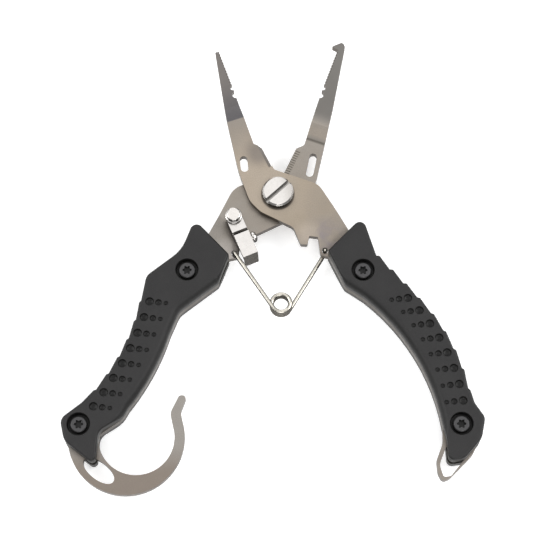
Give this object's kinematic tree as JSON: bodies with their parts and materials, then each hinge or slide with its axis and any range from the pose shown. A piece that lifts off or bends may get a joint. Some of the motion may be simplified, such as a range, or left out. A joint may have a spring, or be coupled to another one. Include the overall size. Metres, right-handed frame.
{
  "type": "fishing pliers",
  "caption": "Open spring-loaded split-ring fishing pliers with serrated jaws, slotted pivot screw, side latch, dimpled plastic grips and a finger hook.",
  "frame": {"origin": "bottom centre of the box round the open pliers as they lie on their back grips", "axes": "+Y towards the jaw tips, +X towards the handle with the lanyard loop, +Z out of the front face, up from the surface the pliers lie on"},
  "size_m": [0.15, 0.1722, 0.0132],
  "materials": {
    "plate_steel": "tumbled, with a faint warm heat tint",
    "nickel": "polished nickel plate",
    "spring_steel": "bright drawn wire",
    "grip_plastic": "fine moulded texture",
    "black_steel": "black oxide"
  },
  "bodies": {
    "back_half": {"back_plate": "plate_steel", "pivot_screw": "nickel", "pivot_nut": "nickel", "pivot_washer": "nickel", "latch_rivet": "nickel", "latch_washer": "nickel", "left_front_grip": "grip_plastic", "left_back_grip": "grip_plastic", "left_upper_screw": "black_steel", "left_upper_sleeve_nut": "black_steel", "left_lower_screw": "black_steel", "left_lower_sleeve_nut": "black_steel"},
    "front_half": {"front_plate": "plate_steel", "right_front_grip": "grip_plastic", "right_back_grip": "grip_plastic", "right_upper_screw": "black_steel", "right_upper_sleeve_nut": "black_steel", "right_lower_screw": "black_steel", "right_lower_sleeve_nut": "black_steel"},
    "spring_left": {"spring_left_leg": "spring_steel"},
    "spring_right": {"spring_right_leg": "spring_steel"},
    "latch": {"latch_lever": "nickel", "latch_stud": "nickel"}
  },
  "joints": [
    {"name": "plier_hinge", "type": "hinge", "parent": "back_half", "child": "front_half", "pos_m": [0.00185, 0.02569, 0.0062], "axis": [0, 0, 1], "range_deg": [-42.1, 0], "stiffness_Nm_per_rad": 0.25},
    {"name": "spring_left_swing", "type": "hinge", "parent": "back_half", "child": "spring_left", "pos_m": [-0.01416, 0.00308, 0.0062], "axis": [0, 0, 1], "range_deg": [-44.5, 0.1]},
    {"name": "spring_coil", "type": "hinge", "parent": "spring_left", "child": "spring_right", "pos_m": [0.0029, -0.016, 0.0062], "axis": [0, 0, 1], "range_deg": [-0.1, 46.8]},
    {"name": "latch_swing", "type": "hinge", "parent": "back_half", "child": "latch", "pos_m": [-0.01435, 0.01629, 0.0062], "axis": [0, 0, 1], "range_deg": [0, 20]}
  ],
  "couplings": [
    {"joint": "spring_left_swing", "follows": "plier_hinge", "ratio": 1.054},
    {"joint": "spring_coil", "follows": "plier_hinge", "ratio": -1.108}
  ]
}
